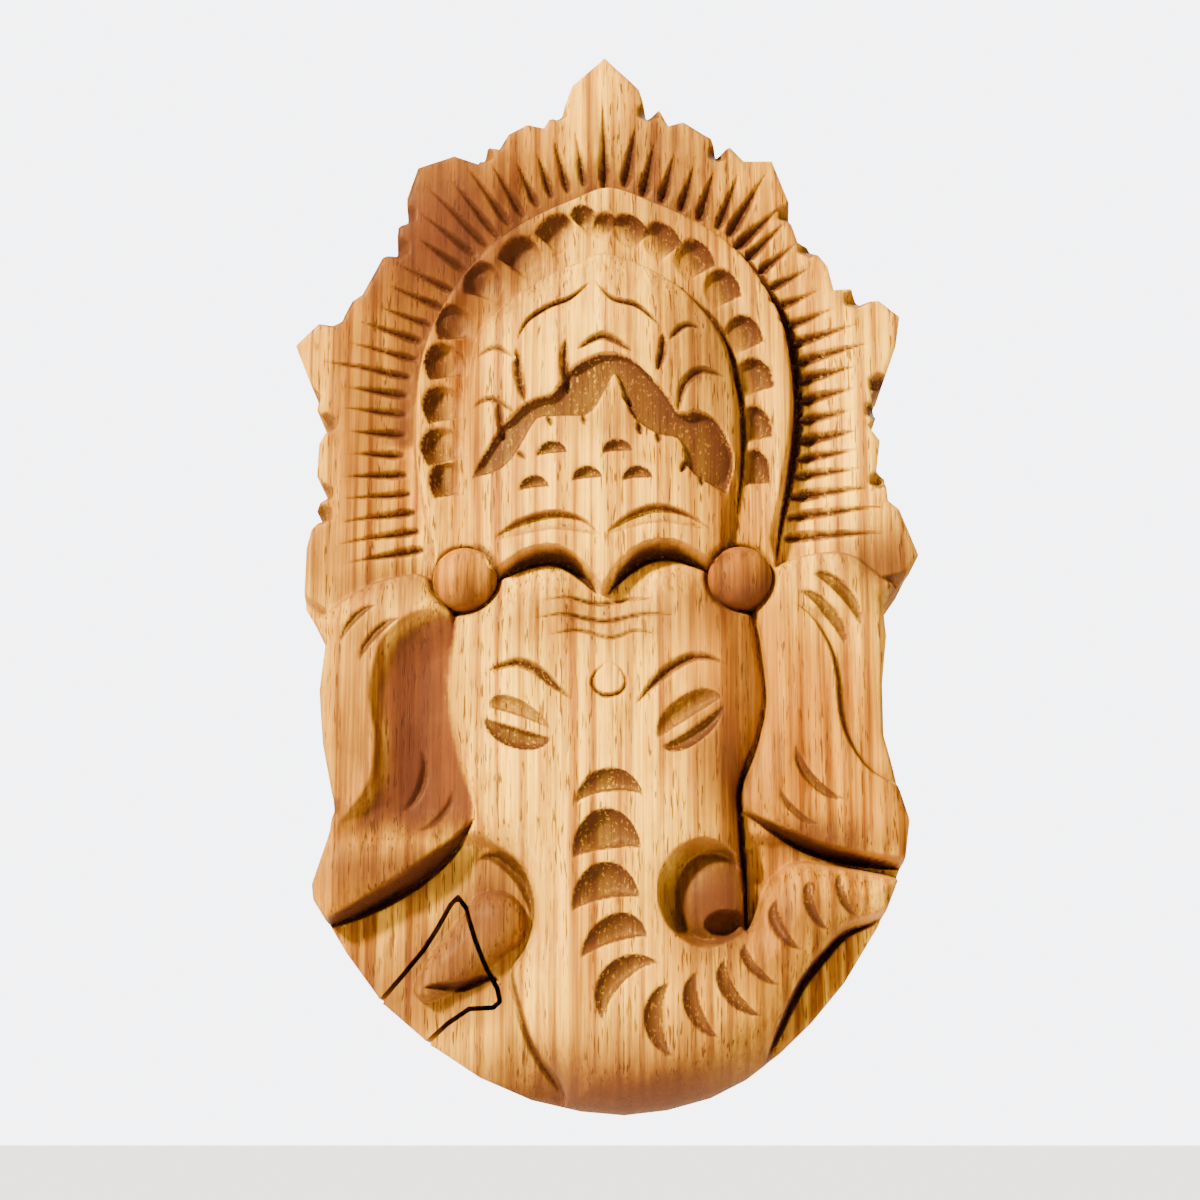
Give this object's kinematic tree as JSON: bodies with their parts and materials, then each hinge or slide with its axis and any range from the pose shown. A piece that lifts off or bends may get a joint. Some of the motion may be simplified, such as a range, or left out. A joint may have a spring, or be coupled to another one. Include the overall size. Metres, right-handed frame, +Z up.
{
  "type": "carved wooden mask box",
  "caption": "Two-layer carved hardwood wall mask in the form of an elephant-headed face, with a lid that turns on a hidden screw, a sawn key piece and a hollow behind.",
  "frame": {"origin": "centre of the flat back face, at half the object's height, where it rests on the wall", "axes": "+Z up the mask, +X to the right seen from the front, the carved front faces -Y and the flat back is the plane y = 0"},
  "size_m": [0.1044, 0.0426, 0.18],
  "materials": {
    "body_wood": "sawn and sanded open-grained hardwood, thin satin lacquer",
    "carved_wood": "hand-carved open-grained golden hardwood, hollows stained darker, satin lacquer",
    "button_wood": "turned hardwood, satin lacquer",
    "screw_steel": "zinc-plated steel"
  },
  "bodies": {
    "box": {"body": "body_wood", "pivot_washer": "screw_steel"},
    "cover": {"lid": "carved_wood", "pivot_screw": "screw_steel", "button_left": "button_wood", "button_right": "button_wood"},
    "key": {"key": "carved_wood"}
  },
  "joints": [
    {"name": "lid_swing", "type": "hinge", "parent": "box", "child": "cover", "pos_m": [0, -0.0203, 0.073], "axis": [0, 1, 0], "continuous": true},
    {"name": "key_lift", "type": "slide", "parent": "cover", "child": "key", "axis": [0, -1, 0], "range_m": [0, 0.03]}
  ]
}
